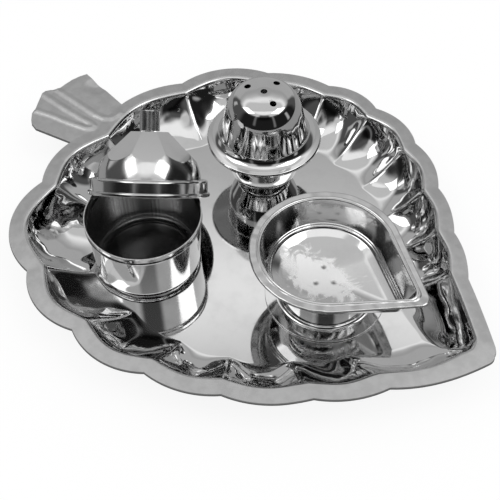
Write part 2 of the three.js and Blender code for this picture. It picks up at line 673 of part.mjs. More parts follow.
const cupFootRadius = CUP_RADIUS - CUP_BAND_STEP - CUP_TAPER;
const cupAt = fromEdge(CUP_DIRECTION, cupFootRadius - CUP_OVER_SCOOP);
const cupToHolder = lidBeadRadius + HOLDER_TO_LID + COVER_RADIUS;
const holderAt = [
  cupAt[0] + cupToHolder * Math.cos(radians(HOLDER_DIRECTION)),
  cupAt[1] + cupToHolder * Math.sin(radians(HOLDER_DIRECTION)),
];
const footAt = fromEdge(FOOT_DIRECTION, FOOT_RADIUS + FOOT_TO_TIP);
const lampAt = [footAt[0] - FOOT_SHIFT[0], footAt[1] - FOOT_SHIFT[1]];

const lid = new THREE.Group();
const { position, axis, lean, direction } = lidPlace();
lid.position.copy(position);
lid.quaternion.setFromAxisAngle(axis, lean);
const facing = new THREE.Group();
facing.rotation.z = direction + Math.PI / LID_FACETS;
facing.add(
  piece('lid_shell', lidGeometry(), mirrorSteel),
  piece('lid_knob', knobGeometry(), mirrorSteel, LID_HEIGHT + REST_GAP),
  piece('lid_knob_screw', screwGeometry(), brushedSteel, LID_HEIGHT - VESSEL_SHEET - REST_GAP),
);
lid.add(facing);

const lampFoot = piece('lamp_foot', footGeometry(), mirrorSteel);
lampFoot.position.set(FOOT_SHIFT[0], FOOT_SHIFT[1], 0);
const lampBowl = piece('lamp_bowl', lampBowlGeometry(), mirrorSteel, LAMP_HEIGHT);
lampBowl.rotation.z = radians(LAMP_DIRECTION);

const plate = new THREE.Group();
plate.add(
  piece('tray', trayGeometry(), mirrorSteel),
  vessel(cupAt, piece('cup_body', cupGeometry(), brushedSteel), lid),
  vessel(
    holderAt,
    piece('holder_bowl', holderBowlGeometry(), mirrorSteel),
    piece('holder_cover', coverGeometry(), mirrorSteel, HOLDER_SEAT + REST_GAP),
  ),
  vessel(lampAt, lampFoot, lampBowl),
);

export default plate;
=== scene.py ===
# %% [markdown]
# A kumkum plate. It is a leaf-shaped tray pressed from one sheet of stainless steel. It carries a
# kumkum cup with its lid taken off, a holder for incense sticks and an oil lamp. This lesson dresses
# the plain solids of the part: each one gets a smooth, finished piece in its place, because polished
# steel shows every facet, and then the set is lit so that its steel reads as steel.

# %% Load the frame
from math import acos, asin, atan2, cos, degrees, hypot, pi, radians, sin, sqrt, tan, tau

import bmesh
import bpy
from mathutils import Matrix, Quaternion, Vector, noise


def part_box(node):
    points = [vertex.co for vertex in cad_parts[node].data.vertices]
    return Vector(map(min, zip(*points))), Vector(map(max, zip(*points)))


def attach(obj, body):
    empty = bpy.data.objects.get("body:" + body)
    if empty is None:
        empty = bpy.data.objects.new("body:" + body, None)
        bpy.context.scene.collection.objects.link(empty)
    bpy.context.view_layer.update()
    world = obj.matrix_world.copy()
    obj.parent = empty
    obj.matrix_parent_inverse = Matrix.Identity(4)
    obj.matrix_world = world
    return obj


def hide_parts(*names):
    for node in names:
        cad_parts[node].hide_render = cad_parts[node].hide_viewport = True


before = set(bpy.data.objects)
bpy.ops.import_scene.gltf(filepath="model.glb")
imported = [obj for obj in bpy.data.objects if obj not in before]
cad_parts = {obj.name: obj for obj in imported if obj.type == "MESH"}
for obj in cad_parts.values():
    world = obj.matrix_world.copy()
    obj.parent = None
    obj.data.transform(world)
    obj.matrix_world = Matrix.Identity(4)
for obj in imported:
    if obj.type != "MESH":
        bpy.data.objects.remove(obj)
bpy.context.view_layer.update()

MM = 0.001

# %% [markdown]
# The camera. It looks down on the tray from half a metre away, the way one looks at a plate held at
# the waist. Its place is given as a point on the tray that it looks at, a distance, a height in
# degrees and a compass direction, because these are the things that a photographer sets.

# %% Camera
AIM = Vector((6.1, -4.27, 0.8)) * MM
CAMERA_DISTANCE = 451.5 * MM
CAMERA_HEIGHT = radians(50.92)
CAMERA_DIRECTION = radians(-49.5)
CAMERA_ROLL = radians(-1.03)
FOCAL_PIXELS = 974
IMAGE_PIXELS = 500

towards_camera = Vector((
    cos(CAMERA_HEIGHT) * cos(CAMERA_DIRECTION),
    cos(CAMERA_HEIGHT) * sin(CAMERA_DIRECTION),
    sin(CAMERA_HEIGHT),
))
camera = bpy.data.objects.new("camera", bpy.data.cameras.new("camera"))
camera.data.sensor_fit = "HORIZONTAL"
camera.data.lens = camera.data.sensor_width * FOCAL_PIXELS / IMAGE_PIXELS
camera.location = AIM + towards_camera * CAMERA_DISTANCE
camera.rotation_mode = "QUATERNION"
facing = (-towards_camera).to_track_quat("-Z", "Y")
camera.rotation_quaternion = facing @ Quaternion((0, 0, 1), CAMERA_ROLL)
bpy.context.scene.collection.objects.link(camera)
bpy.context.scene.camera = camera
bpy.context.scene.view_settings.view_transform = "Standard"
print("camera at", [round(c / MM) for c in camera.location], "mm, lens", round(camera.data.lens, 1))

# %% [markdown]
# Polished steel has hardly any look of its own: it shows the room. So the room matters as much as the
# metal. This one is a white tent behind and over the tray. It is open towards the camera, where the
# room is dark, and it has gaps low down, which make the dark streaks in the scoops. The tent is a world
# material that works from the direction in which a ray leaves.

# %% Shorthand for node trees
def tree_of(owner):
    owner.use_nodes = True
    owner.node_tree.nodes.clear()
    return owner.node_tree


def node(tree, kind, inputs=(), **settings):
    """Adds a node. Inputs are (name or number, value or socket) pairs."""
    made = tree.nodes.new(kind)
    for name, value in settings.items():
        setattr(made, name, value)
    for place, value in inputs:
        if isinstance(value, bpy.types.NodeSocket):
            tree.links.new(value, made.inputs[place])
        else:
            made.inputs[place].default_value = value
    return made


def maths(tree, operation, *values, clamp=False):
    made = node(tree, "ShaderNodeMath", enumerate(values), operation=operation, use_clamp=clamp)
    return made.outputs[0]


def eased(tree, value, start, end, low=0.0, high=1.0):
    """A smooth step from low to high while value goes from start to end."""
    return node(
        tree, "ShaderNodeMapRange",
        [("Value", value), ("From Min", start), ("From Max", end), ("To Min", low), ("To Max", high)],
        interpolation_type="SMOOTHSTEP",
    ).outputs["Result"]


# %% The white tent
world = bpy.data.worlds.new("tent")
bpy.context.scene.world = world
tent = tree_of(world)
ray = node(tent, "ShaderNodeLightPath").outputs
coordinate = node(tent, "ShaderNodeTexCoord").outputs["Generated"]
turned = node(tent, "ShaderNodeVectorRotate", [("Vector", coordinate), ("Angle", CAMERA_DIRECTION + pi)],
              rotation_type="Z_AXIS", invert=True).outputs[0]
direction = node(tent, "ShaderNodeSeparateXYZ", [("Vector", turned)]).outputs
away, leftwards, upwards = direction
height = maths(tent, "ARCSINE", upwards)
compass = maths(tent, "ARCTAN2", leftwards, away)


def patch(at, width, low, high, soft=6):
    """A soft-edged window of the tent: its compass direction, width and the heights it spans, in degrees."""
    turn = maths(tent, "SUBTRACT", compass, radians(at))
    turn = maths(tent, "WRAP", turn, pi, -pi)
    off = maths(tent, "ABSOLUTE", turn)
    sides = eased(tent, off, radians(width / 2 - soft), radians(width / 2 + soft), 1, 0)
    foot = eased(tent, height, radians(low - soft), radians(low + soft))
    top = eased(tent, height, radians(high - soft), radians(high + soft), 1, 0)
    return maths(tent, "MULTIPLY", sides, maths(tent, "MULTIPLY", foot, top))


room = eased(tent, height, radians(38), radians(50), 0.1, 0.75)
for at, width, low, high, soft, strength in [
    (-1, 88, -90, 42, 6, 0.44), (0, 150, 50, 56, 3, 0.4), (180, 170, 64, 90, 6, 0.5),
]:
    room = maths(tent, "ADD", room, maths(tent, "MULTIPLY", patch(at, width, low, high, soft), strength))
for at, width, low, high, soft, share in [(-164, 182, -90, 40, 9, 0.84), (180, 42, 30, 59, 6, 0.86)]:
    opening = maths(tent, "MULTIPLY", patch(at, width, low, high, soft), share)
    room = maths(tent, "MULTIPLY", room, maths(tent, "SUBTRACT", 1.0, opening))
for at, width, low, high, strength in [
    (62, 10, 4, 26, 0.5), (-105, 8, 3, 24, 0.5), (150, 7, 10, 50, 0.16), (-150, 6, 4, 44, 0.2),
]:
    room = maths(tent, "ADD", room, maths(tent, "MULTIPLY", patch(at, width, low, high, 3), strength))
seen = maths(tent, "MAXIMUM", ray["Is Camera Ray"], ray["Is Diffuse Ray"])
strength = node(tent, "ShaderNodeMix", [("Factor", seen), ("A", room), ("B", 1.0)]).outputs["Result"]
background = node(tent, "ShaderNodeBackground", [("Color", (1, 1, 1, 1)), ("Strength", strength)])
node(tent, "ShaderNodeOutputWorld", [("Surface", background.outputs[0])])

# %% [markdown]
# Two softboxes stand left and right of the tray and hang over its near side. Round pieces mirror them
# as white patches, which is what tells the eye that the metal is polished and not painted.

# %% Softboxes
SOFTBOX_DISTANCE = 1.3


def softbox(name, at, up, width, tall, radiance):
    """A soft light, by its compass direction and height as seen from the tray, in degrees, and its size in m."""
    turn = CAMERA_DIRECTION + pi + radians(at)
    towards = Vector((cos(radians(up)) * cos(turn), cos(radians(up)) * sin(turn), sin(radians(up))))
    data = bpy.data.lights.new(name, "AREA")
    data.shape = "RECTANGLE"
    data.size, data.size_y = width, tall
    data.energy = radiance * pi * width * tall
    light = bpy.data.objects.new(name, data)
    light.location = AIM + towards * SOFTBOX_DISTANCE
    light.rotation_mode = "QUATERNION"
    light.rotation_quaternion = towards.to_track_quat("Z", "Y")
    bpy.context.scene.collection.objects.link(light)
    print(name, "at", [round(c, 2) for c in light.location], "m")


softbox("softbox_left", at=94, up=57, width=0.7, tall=0.46, radiance=2)
softbox("softbox_right", at=-100, up=59, width=0.7, tall=0.55, radiance=2)

# %% [markdown]
# The set stands on plain white paper. The camera sees it almost as white as the backdrop, and a little of
# the real shading is kept, so the tray still has its shadow. Steel that mirrors the paper sees it grey:
# this is painted shade, and it stands for a dimmer table round the tray.

# %% Paper
PAPER_HALF = 1.2
PAPER_KEPT = 0.12
PAPER_MIRRORED_SHADE = 0.3

bm = bmesh.new()
bmesh.ops.create_grid(bm, x_segments=1, y_segments=1, size=PAPER_HALF)
paper_mesh = bpy.data.meshes.new("paper")
bm.to_mesh(paper_mesh)
bm.free()
paper = bpy.data.objects.new("paper", paper_mesh)
bpy.context.scene.collection.objects.link(paper)

paper_finish = bpy.data.materials.new("white_paper")
sheet = tree_of(paper_finish)
ray = node(sheet, "ShaderNodeLightPath").outputs
lit = maths(sheet, "MAXIMUM", ray["Is Camera Ray"], ray["Is Glossy Ray"])
lit = maths(sheet, "MULTIPLY", lit, 1 - PAPER_KEPT)
# Glossy rays see the paper's glow turned down. This is painted shade on the table that the steel mirrors.
glow = eased(sheet, ray["Is Camera Ray"], 0.0, 1.0, PAPER_MIRRORED_SHADE, 1.0)
matt = node(sheet, "ShaderNodeBsdfDiffuse", [("Color", (0.85, 0.85, 0.85, 1))])
bright = node(sheet, "ShaderNodeEmission", [("Color", (1, 1, 1, 1)), ("Strength", glow)])
both = node(sheet, "ShaderNodeMixShader", [(0, lit), (1, matt.outputs[0]), (2, bright.outputs[0])])
node(sheet, "ShaderNodeOutputMaterial", [("Surface", both.outputs[0])])
paper_mesh.materials.append(paper_finish)

# %% [markdown]
# The steel. The sheet was pressed, then polished with a soft wheel, so it is a mirror with three small
# faults: slow waves left by the press, a fine grain from the wheel, and fingerprints and dust that
# dull it in patches. Each is a noise of its own size. The turned pieces also have the rings that a
# polishing wheel leaves on something that spins, which depend only on the distance from the axis and
# on the height.

# %% Steel finishes
MIRROR_TONE = 0.64
SATIN_TONE = 0.5
SATIN_ROUGHNESS = 0.31
# This tone is painted shade on the tray's turned-down edge, which darkens its outline. The lamp's weld marks also take
# it, as real marks.
EDGE_SHADE_AND_WELD_TONE = 0.16
INNER_ROUGHNESS = 0.24


def steel_finish(name, tone, gloss, waves, rings=0.0, ring_size=0.25, inner_shade_tone=None, worn=None, place=Matrix()):
    """Gloss is (lowest, highest) roughness; waves and rings are heights of bumps in mm. Where a piece has
    the attribute satin, 1 means a part that the wheel left satin, and 2 painted shade on the tray's
    turned-down edge and a real weld mark on the lamp. An inner shade tone is painted shade on the inside
    of a round vessel, with painted reflection streaks round the axis. Worn is the middle and the half
    sizes of an oval, in mm, that use has scoured dull."""
    finish = bpy.data.materials.new(name)
    tree = tree_of(finish)
    spot = node(tree, "ShaderNodeTexCoord").outputs["Object"]
    smudge = node(tree, "ShaderNodeTexNoise", [("Vector", spot), ("Scale", 70), ("Detail", 5), ("Roughness", 0.62)])
    dulled = node(tree, "ShaderNodeMapRange", [
        ("Value", smudge.outputs[0]), ("From Min", 0.42), ("From Max", 0.72), ("To Min", gloss[0]), ("To Max", gloss[1]),
    ]).outputs["Result"]
    tone = eased(tree, smudge.outputs[0], 0.42, 0.72, tone, tone * 0.94)
    slow = node(tree, "ShaderNodeTexNoise", [("Vector", spot), ("Scale", 45), ("Detail", 2)]).outputs[0]
    bump = node(tree, "ShaderNodeBump", [("Strength", 1.0), ("Distance", waves * MM), ("Height", slow)]).outputs[0]
    grain = node(tree, "ShaderNodeTexNoise", [("Vector", spot), ("Scale", 900), ("Detail", 2)]).outputs[0]
    bump = node(tree, "ShaderNodeBump", [
        ("Strength", 1.0), ("Distance", 0.0006 * MM), ("Height", grain), ("Normal", bump),
    ]).outputs[0]
    # Painted shade: wherever the surface faces the axis it takes a darker tone, broken into lighter and darker streaks
    # round the axis that paint in streaked reflections.
    if inner_shade_tone:
        normal = node(tree, "ShaderNodeNewGeometry").outputs["Normal"]
        axis = node(tree, "ShaderNodeVectorMath", [(0, spot), (1, place.to_translation())], operation="SUBTRACT").outputs[0]
        flat = node(tree, "ShaderNodeVectorMath", [(0, axis), (1, (1, 1, 0))], operation="MULTIPLY").outputs[0]
        facing_out = node(tree, "ShaderNodeVectorMath", [(0, flat), (1, normal)], operation="DOT_PRODUCT").outputs["Value"]
        dx, dy, _ = node(tree, "ShaderNodeSeparateXYZ", [("Vector", axis)]).outputs
        round_it = node(tree, "ShaderNodeCombineXYZ", [("X", maths(tree, "ARCTAN2", dy, dx))]).outputs[0]
        streaks = node(tree, "ShaderNodeTexNoise", [("Vector", round_it), ("Scale", 26), ("Detail", 4)]).outputs[0]
        inside = eased(tree, streaks, 0.3, 0.7, inner_shade_tone * 0.75, inner_shade_tone * 1.25)
        tone = eased(tree, facing_out, -0.008, 0.012, inside, tone)
        dulled = eased(tree, facing_out, -0.008, 0.012, INNER_ROUGHNESS, dulled)
    if worn:
        oval = node(tree, "ShaderNodeMapping", [
            ("Vector", spot), ("Location", Vector(worn[0]) * MM), ("Scale", Vector(worn[1]) * MM),
        ], vector_type="TEXTURE").outputs[0]
        reach = node(tree, "ShaderNodeVectorMath", [(0, oval)], operation="LENGTH").outputs["Value"]
        curls = node(tree, "ShaderNodeTexNoise", [
            ("Vector", spot), ("Scale", 110), ("Detail", 4), ("Roughness", 0.6), ("Distortion", 2.2),
        ]).outputs[0]
        reach = maths(tree, "ADD", reach, maths(tree, "MULTIPLY", maths(tree, "SUBTRACT", curls, 0.5), 2.4))
        scoured = eased(tree, reach, 0.5, 1.15, 1, 0)
        tone = node(tree, "ShaderNodeMix", [("Factor", scoured), ("A", tone), ("B", 0.98)]).outputs[0]
        dulled = node(tree, "ShaderNodeMix", [("Factor", scoured), ("A", dulled), ("B", 0.42)]).outputs[0]
    if rings:
        own = node(tree, "ShaderNodeMapping", [
            ("Vector", spot), ("Location", place.to_translation()), ("Rotation", place.to_euler()),
        ], vector_type="TEXTURE").outputs[0]
        x, y, z = node(tree, "ShaderNodeSeparateXYZ", [("Vector", own)]).outputs
        out = maths(tree, "SQRT", maths(tree, "ADD", maths(tree, "POWER", x, 2.0), maths(tree, "POWER", y, 2.0)))
        across = node(tree, "ShaderNodeCombineXYZ", [("X", out), ("Y", z)]).outputs[0]
        groove = node(tree, "ShaderNodeTexNoise", [
            ("Vector", across), ("Scale", 1 / (ring_size * MM)), ("Detail", 3),
        ]).outputs[0]
        bump = node(tree, "ShaderNodeBump", [
            ("Strength", 1.0), ("Distance", rings * MM), ("Height", groove), ("Normal", bump),
        ]).outputs[0]
    satin = node(tree, "ShaderNodeAttribute", attribute_name="satin").outputs["Fac"]
    mottled = node(tree, "ShaderNodeTexNoise", [("Vector", spot), ("Scale", 260), ("Detail", 4)]).outputs[0]
    satin_tone = eased(tree, mottled, 0.3, 0.7, SATIN_TONE - 0.03, SATIN_TONE + 0.03)
    satin_share = node(tree, "ShaderNodeClamp", [("Value", satin)]).outputs[0]
    # Where satin goes from 1 to 2 the tone moves to the edge tone: painted shade on the turned-down edge, and real
    # weld marks on the lamp.
    edge_shade_and_weld_share = node(tree, "ShaderNodeClamp", [("Value", maths(tree, "SUBTRACT", satin, 1.0))]).outputs[0]
    shade = node(tree, "ShaderNodeMix", [("Factor", satin_share), ("A", tone), ("B", satin_tone)]).outputs[0]
    shade = node(tree, "ShaderNodeMix", [("Factor", edge_shade_and_weld_share), ("A", shade), ("B", EDGE_SHADE_AND_WELD_TONE)]).outputs[0]
    rough = node(tree, "ShaderNodeMix", [("Factor", satin_share), ("A", dulled), ("B", SATIN_ROUGHNESS)]).outputs[0]
    shader = node(tree, "ShaderNodeBsdfPrincipled", [
        ("Base Color", shade), ("Metallic", 1.0), ("Roughness", rough), ("Normal", bump),
    ])
    node(tree, "ShaderNodeOutputMaterial", [("Surface", shader.outputs[0])])
    return finish


# %% [markdown]
# Most of the pieces are round pressings. A section is drawn as a chain of edges, its corners are
# rounded with the bevel operator, and spin turns it into a skin. The Solidify modifier gives the skin
# the thickness of the sheet, a fine bevel breaks its cut edges, and Weighted Normal keeps flat faces
# flat, which a mirror needs.

# %% Round pressings
SPIN_STEPS = 144
ROUNDING_STEP = 7


def section(corners):
    """A bmesh with one chain of edges through the corners, each (out, up, rounding) in mm."""
    bm = bmesh.new()
    chain = [bm.verts.new((out * MM, 0, up * MM)) for out, up, _ in corners]
    for start, end in zip(chain, chain[1:]):
        bm.edges.new((start, end))
    for vert, (_, _, rounding) in zip(chain, corners):
        if not rounding:
            continue
        arms = [edge.other_vert(vert).co - vert.co for edge in vert.link_edges]
        half = arms[0].angle(arms[1]) / 2
        steps = max(2, round(degrees(pi - 2 * half) / ROUNDING_STEP))
        bmesh.ops.bevel(
            bm, geom=[vert], offset=rounding * MM / tan(half), offset_type="OFFSET", affect="VERTICES",
            segments=steps, profile=0.5, material=-1,
        )
    return bm


def spin(bm, steps=SPIN_STEPS):
    bmesh.ops.spin(
        bm, geom=bm.verts[:] + bm.edges[:], cent=(0, 0, 0), axis=(0, 0, 1), angle=tau, steps=steps, use_merge=True,
    )
    bmesh.ops.remove_doubles(bm, verts=bm.verts, dist=0.001 * MM)
    bmesh.ops.recalc_face_normals(bm, faces=bm.faces)
    return bm


def standing(node_name):
    """Where a round piece stands: the middle of its solid, at its lowest height."""
    low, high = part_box(node_name)
    return Matrix.Translation(((low.x + high.x) / 2, (low.y + high.y) / 2, low.z))


def make_piece(bm, name, body, node_name, finish, wall=0.0, edge=0.12, edge_angle=50, place=Matrix(),
               holes=None):
    """Finishes a skin: thickness, broken edges, its place, its material and what it stands for."""
    bmesh.ops.transform(bm, matrix=place, verts=bm.verts)
    mesh = bpy.data.meshes.new(name)
    bm.to_mesh(mesh)
    bm.free()
    mesh.shade_smooth()
    mesh.materials.append(finish)
    piece = bpy.data.objects.new(name, mesh)
    bpy.context.scene.collection.objects.link(piece)
    if wall:
        sheet = piece.modifiers.new("sheet", "SOLIDIFY")
        sheet.thickness = wall * MM
        sheet.offset = -1
        sheet.use_even_offset = True
    if holes:
        drill = piece.modifiers.new("holes", "BOOLEAN")
        drill.object = holes
        drill.solver = "EXACT"
    if edge:
        soft = piece.modifiers.new("edges", "BEVEL")
        soft.width = edge * MM
        soft.segments = 2
        soft.limit_method = "ANGLE"
        soft.angle_limit = radians(edge_angle)
    flats = piece.modifiers.new("flats", "WEIGHTED_NORMAL")
    flats.keep_sharp = True
    shown = piece.evaluated_get(bpy.context.evaluated_depsgraph_get())
    finished = bpy.data.meshes.new_from_object(shown)
    piece.modifiers.clear()
    piece.data = finished
    finished.name = name
    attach(piece, body)
    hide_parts(node_name)
    print(name, len(finished.polygons), "faces")
    return piece


# %% [markdown]
# The tray's outline, seen from above, is a round end drawn out to a tip, with scallops round the whole
# edge. Each scallop has its own width and bulge, because the press tool was cut by hand. The floor
# inside follows the scallops only a little.

# %% Outline of the leaf
LEAF_RADIUS = 95
LEAF_REACH = 129
TIP_DIRECTION = 2.6
TIP_ROUNDING = 6
# Anticlockwise from the tip: direction of the notch in front in degrees, its stand-off from the plain
# leaf and the bulge of the scallop in mm
SCALLOPS = [
    (TIP_DIRECTION, 0, 0.2), (18.6, -3.3, 2), (32.9, -3.2, 2), (49.8, -4.1, 2.2), (68.4, -1.3, 3),
    (86.7, 0.6, 3.2), (103.7, 1.9, 1.5), (123, 3.1, 4.6), (149.7, 0.7, 4.2), (181.9, -3, 4.2),
    (207, 3, 7.8), (237.7, 5, 4.2), (260.6, 0, 3.6), (283.8, -2.4, 1.8), (304, -0.9, 1.9),
    (325.6, 4.1, 2.6), (342, 5.4, 4.2), (TIP_DIRECTION + 360, 0, 0),
]


def drop_outline(radius, reach, rounding, angle):
    """How far out a round end with a drawn-out tip reaches in a direction from the tip."""
    away = abs(atan2(sin(angle), cos(angle)))
    tangent = acos(radius / reach)
    centre = reach - rounding / cos(tangent)
    rounding_end = atan2(rounding * sin(tangent), centre + rounding * cos(tangent))
    if away >= tangent:
        return radius
    if away >= rounding_end:
        return radius / cos(tangent - away)
    return centre * cos(away) + sqrt(rounding ** 2 - (centre * sin(away)) ** 2)


def scallop_at(turn):
    """Share of the way through a scallop, its stand-off there, its bulge and how much ridge there is."""
    turn = (turn - TIP_DIRECTION) % 360 + TIP_DIRECTION
    place = max(i for i, scallop in enumerate(SCALLOPS[:-1]) if scallop[0] <= turn)
    (start, stand, bulge), (end, next_stand, _) = SCALLOPS[place], SCALLOPS[place + 1]
    share = (turn - start) / (end - start)
    at_tip = place == 0 and share < 0.5 or place == len(SCALLOPS) - 2 and share > 0.5
    ridge = 0 if at_tip else abs(1 - 2 * share) ** RIDGE_SHARPNESS
    return share, stand + (next_stand - stand) * share, bulge, ridge


# %% [markdown]
# The tray's section is worked out along one direction at a time: a flat floor, a scoop that gets
# steeper as it rises, a tight bend, a flat rim that falls a little outwards and an edge turned down.
# Between two scoops the section is nearly straight, which makes the ridge there.

# %% Section of the tray
TRAY_SHEET = 0.8
RIM_HEIGHT = 17
RIM_WIDTH = 6
RIM_FALL = 0.5
RIM_BEND = 2.2
RIM_EDGE = 1.2
EDGE_LEAN = 0.25
WALL_WIDTH = 25
WALL_WIDTH_TIP = 18
SCOOP_STEEPNESS = radians(80)
RIDGE_CURVE = 1.35
RIDGE_SHARPNESS = 2.2
FLOOR_SCALLOP = 1.6
FLOOR_FOLLOWS = 0.5
WALL_RINGS = 16
BEND_RINGS = 6
RIM_RINGS = 6
LUMP_HEIGHT = 0.45
LUMP_SIZE = 6
TIP_SCOOP = 9


def between(start, end, share):
    return start + (end - start) * share


def tray_section(turn):
    """Points (out, up) in mm over the floor from the floor's edge to the rim's edge."""
    share, stand, bulge, ridge = scallop_at(turn)
    plain = drop_outline(LEAF_RADIUS, LEAF_REACH, TIP_ROUNDING, radians(turn - TIP_DIRECTION))
    from_tip = abs((turn + 180) % 360 - 180)
    wall = between(WALL_WIDTH_TIP, WALL_WIDTH, sin(radians(min(from_tip, 90))) ** 2)
    arch = 4 * share * (1 - share)
    soft_arch = (arch + sin(pi * share) ** 2) / 2
    rim_edge = plain + stand + bulge * arch
    crest = (plain + stand) * (1 - RIM_WIDTH / LEAF_RADIUS) + bulge * soft_arch
    if SCALLOPS[0][0] < turn < SCALLOPS[1][0]:
        wall += TIP_SCOOP * sin(pi * share)
    floor_edge = (plain + stand * FLOOR_FOLLOWS) * (1 - (RIM_WIDTH + wall) / LEAF_RADIUS)
    floor_edge += FLOOR_SCALLOP * soft_arch
    wall_top = crest - RIM_BEND * sin(SCOOP_STEEPNESS)
    wall_rise = RIM_HEIGHT - RIM_BEND * (1 - cos(SCOOP_STEEPNESS))
    points = []
    for k in range(WALL_RINGS + 1):
        steep = SCOOP_STEEPNESS * k / WALL_RINGS
        out = sin(steep) / sin(SCOOP_STEEPNESS)
        scoop = (1 - cos(steep)) / (1 - cos(SCOOP_STEEPNESS))
        points.append((between(floor_edge, wall_top, out), wall_rise * between(scoop, out ** RIDGE_CURVE, ridge)))
    for k in range(1, BEND_RINGS + 1):
        steep = SCOOP_STEEPNESS * (1 - k / BEND_RINGS)
        points.append((crest - RIM_BEND * sin(steep), RIM_HEIGHT - RIM_BEND * (1 - cos(steep))))
    for k in range(1, RIM_RINGS + 1):
        points.append((between(crest, rim_edge, k / RIM_RINGS), RIM_HEIGHT - RIM_FALL * k / RIM_RINGS))
    return points


# %% [markdown]
# The tray is grown from its floor. A circle gets one vertex for each direction, and its ring of edges
# is extruded outwards again and again, each new ring being put where the section says. A number kept
# on each vertex says which direction it belongs to, and extruding copies that number.

# %% Grow the tray
SPOKE_STEP = 0.8
STEM_ROOT_WIDTH = 34
STEM_ROOT_SPOKES = 100

stem_half = degrees(asin(STEM_ROOT_WIDTH / 2 / LEAF_RADIUS))
stem_start, stem_end = 180 - stem_half, 180 + stem_half


def tray_spokes():
    """Directions of the tray's cuts in degrees: through each notch, and closer together at the stem."""
    stops = sorted({s[0] for s in SCALLOPS if not stem_start < s[0] < stem_end} | {stem_start, stem_end})
    turns = []
    for start, end in zip(stops, stops[1:]):
        count = STEM_ROOT_SPOKES if start == stem_start else max(12, round((end - start) / SPOKE_STEP))
        for k in range(count):
            share = k / count
            if start == TIP_DIRECTION:
                share = share ** 1.6
            elif end == TIP_DIRECTION + 360:
                share = 1 - (1 - share) ** 1.6
            turns.append(between(start, end, share))
    return turns


spokes = tray_spokes()
sections = [tray_section(turn) for turn in spokes]
bm = bmesh.new()
spoke_number = bm.verts.layers.int.new("spoke")
satin = bm.verts.layers.float.new("satin")


def tray_point(spoke, out, up):
    angle = radians(spokes[spoke])
    return Vector((out * cos(angle), out * sin(angle), up + TRAY_SHEET)) * MM


def grow(ring, place, satin_share=0.0):
    """Extrudes a ring or row of edges and puts each new vertex where place(its spoke) says."""
    made = bmesh.ops.extrude_edge_only(bm, edges=ring)["geom"]
    for vert in made:
        if isinstance(vert, bmesh.types.BMVert):
            vert.co = place(vert[spoke_number])
            vert[satin] = satin_share
    return [edge for edge in made if isinstance(edge, bmesh.types.BMEdge)]


floor_ring = bmesh.ops.create_circle(bm, cap_ends=True, segments=len(spokes), radius=1)["verts"]
for spoke, vert in enumerate(floor_ring):
    vert[spoke_number] = spoke
    vert.co = tray_point(spoke, *sections[spoke][0])
ring = bm.edges[:]
wall_verts = []
for k in range(1, len(sections[0])):
    on_rim = max(0, min(1, (k - WALL_RINGS) / BEND_RINGS))
    ring = grow(ring, lambda spoke: tray_point(spoke, *sections[spoke][k]), on_rim)
    if k < WALL_RINGS:
        wall_verts += {vert for edge in ring for vert in edge.verts}
for _ in range(3):
    bmesh.ops.smooth_vert(bm, verts=wall_verts, factor=0.5, use_axis_x=True, use_axis_y=True, use_axis_z=True)
for vert in wall_verts:
    depth = 4 * vert.co.z * (RIM_HEIGHT * MM - vert.co.z) / (RIM_HEIGHT * MM) ** 2
    vert.co.z += LUMP_HEIGHT * MM * max(0, depth) * noise.noise(vert.co / (LUMP_SIZE * MM))
print("tray:", len(spokes), "spokes,", len(sections[0]), "rings")

# %% [markdown]
# The stem is a fan of the same sheet, drawn out from the rim. Three ribs stiffen it: one curves into
# the rim, and the other two meet in a loop. The fan is extruded row by row from the rim's edge, then
# each vertex near a rib is lifted by its distance to the rib's line.

# %% Stem
# End of the fan from its -Y side to its +Y side, and its two sides, in mm
STEM_END = [
    (-116.4, -21.7), (-120.4, -20.6), (-123.6, -18.2), (-126.2, -15.4), (-126.6, -13), (-129, -9.2),
    (-131.3, -5.3), (-132.6, -2.4), (-133.2, -0.1), (-131.6, 2.2), (-129.5, 4), (-129, 6.3),
    (-129, 10), (-128.7, 14.5), (-127.6, 19), (-126, 22.6),
]
RIB_HEIGHT = 0.6
RIB_HALF_WIDTH = 2.4
RIBS = [
    [(-129, 4.4), (-120, 4.3), (-110, 4), (-101, 3.7), (-95.5, 4.6), (-92.3, 7.2), (-91.6, 12.2)],
    [(-132, -2.5), (-119.2, -2.7), (-105, -2.5), (-98.8, -2), (-95.9, -2.5), (-95.2, -4.2), (-97.4, -6)],
    [(-97.4, -6), (-106, -8.3), (-118.3, -10.6), (-125.6, -12.8)],
]
DENT = (-115.5, 19)
STEM_ROWS = 76


def along(points, share):
    """The point a share of the way along a chain of points."""
    lengths = [hypot(b[0] - a[0], b[1] - a[1]) for a, b in zip(points, points[1:])]
    left = share * sum(lengths)
    for (a, b), length in zip(zip(points, points[1:]), lengths):
        if left <= length:
            return Vector(a).lerp(Vector(b), left / length)
        left -= length
    return Vector(points[-1])


def distance_to(line, spot):
    """The distance of a spot from a chain of points, in the plane."""
    nearest = 1e9
    for a, b in zip(line, line[1:]):
        a, b = Vector(a), Vector(b)
        share = max(0, min(1, (spot - a).dot(b - a) / (b - a).length_squared))
        nearest = min(nearest, (spot - a.lerp(b, share)).length)
    return nearest


root_spokes = [i for i, turn in enumerate(spokes) if stem_start - 1e-6 <= turn <= stem_end + 1e-6]
end_of = {}
for place, spoke in enumerate(root_spokes):
    end_of[spoke] = along(STEM_END, 1 - place / (len(root_spokes) - 1))
root_of = {spoke: tray_point(spoke, *sections[spoke][-1]) for spoke in root_spokes}
row = [edge for edge in ring if all(vert[spoke_number] in root_of for vert in edge.verts)]
rim_edges = [edge for edge in ring if edge not in row]
rows = [row]


def stem_point(spoke, share):
    start = root_of[spoke]
    spot = Vector((start.x, start.y)).lerp(end_of[spoke] * MM, share)
    return Vector((spot.x, spot.y, start.z))


